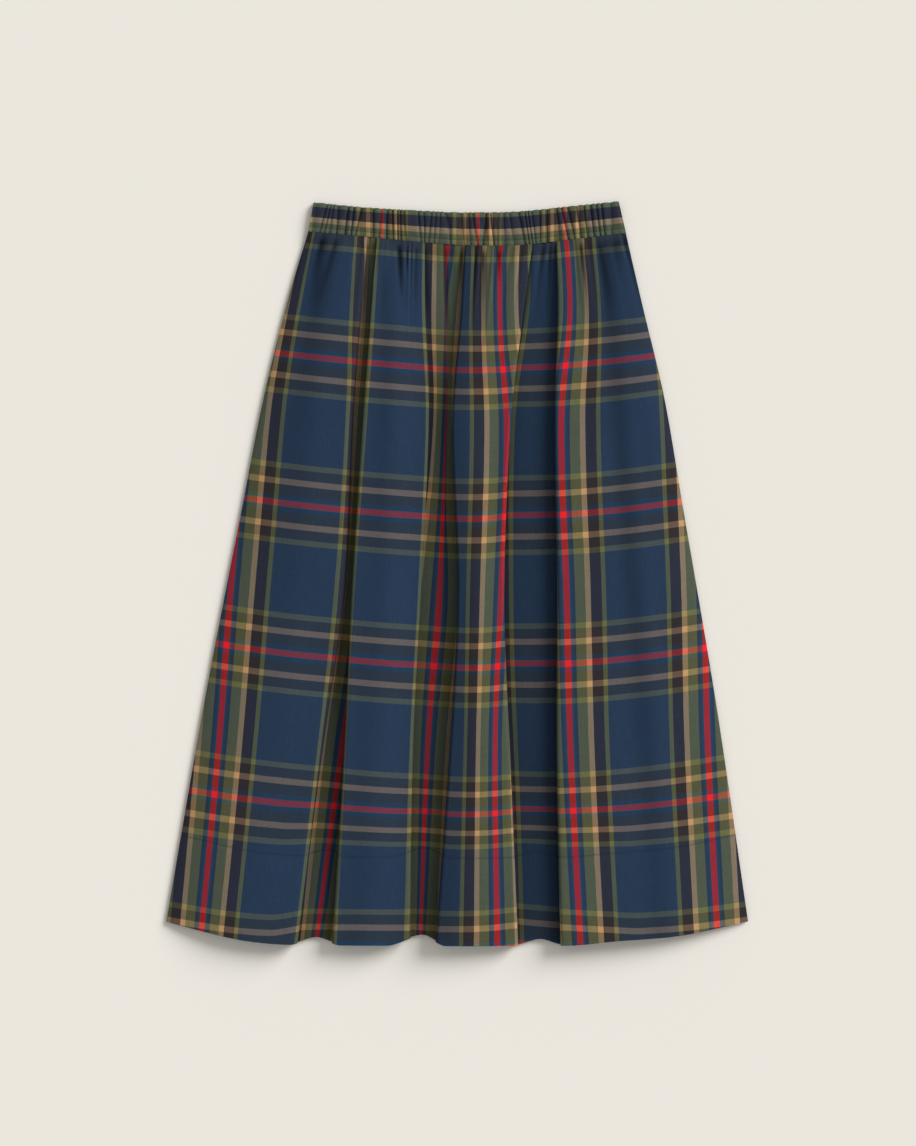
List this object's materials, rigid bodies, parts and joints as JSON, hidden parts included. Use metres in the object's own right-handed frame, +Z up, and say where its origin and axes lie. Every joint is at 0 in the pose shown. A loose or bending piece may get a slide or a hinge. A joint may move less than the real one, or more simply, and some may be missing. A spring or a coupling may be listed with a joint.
{
  "type": "full skirt",
  "caption": "Flared midi skirt laid flat, gathered into an elastic waistband, with long soft folds and a deep turned-up hem.",
  "frame": {"origin": "middle of the whole skirt's outline, on the surface it lies on", "axes": "+X across the skirt to the right as seen from above, +Y from the hem to the waistband, +Z up through the front panel"},
  "size_m": [0.6294, 0.8036, 0.0227],
  "materials": {
    "panel_cloth": "matte woven cotton in a blue, green, tan and red plaid",
    "band_cloth": "the same cotton, cut across the grain and gathered over elastic",
    "thread": "dark polyester sewing thread"
  },
  "bodies": {
    "root": {"front_panel": "panel_cloth", "back_panel": "panel_cloth", "waistband_front": "band_cloth", "waistband_back": "band_cloth"}
  },
  "joints": []
}
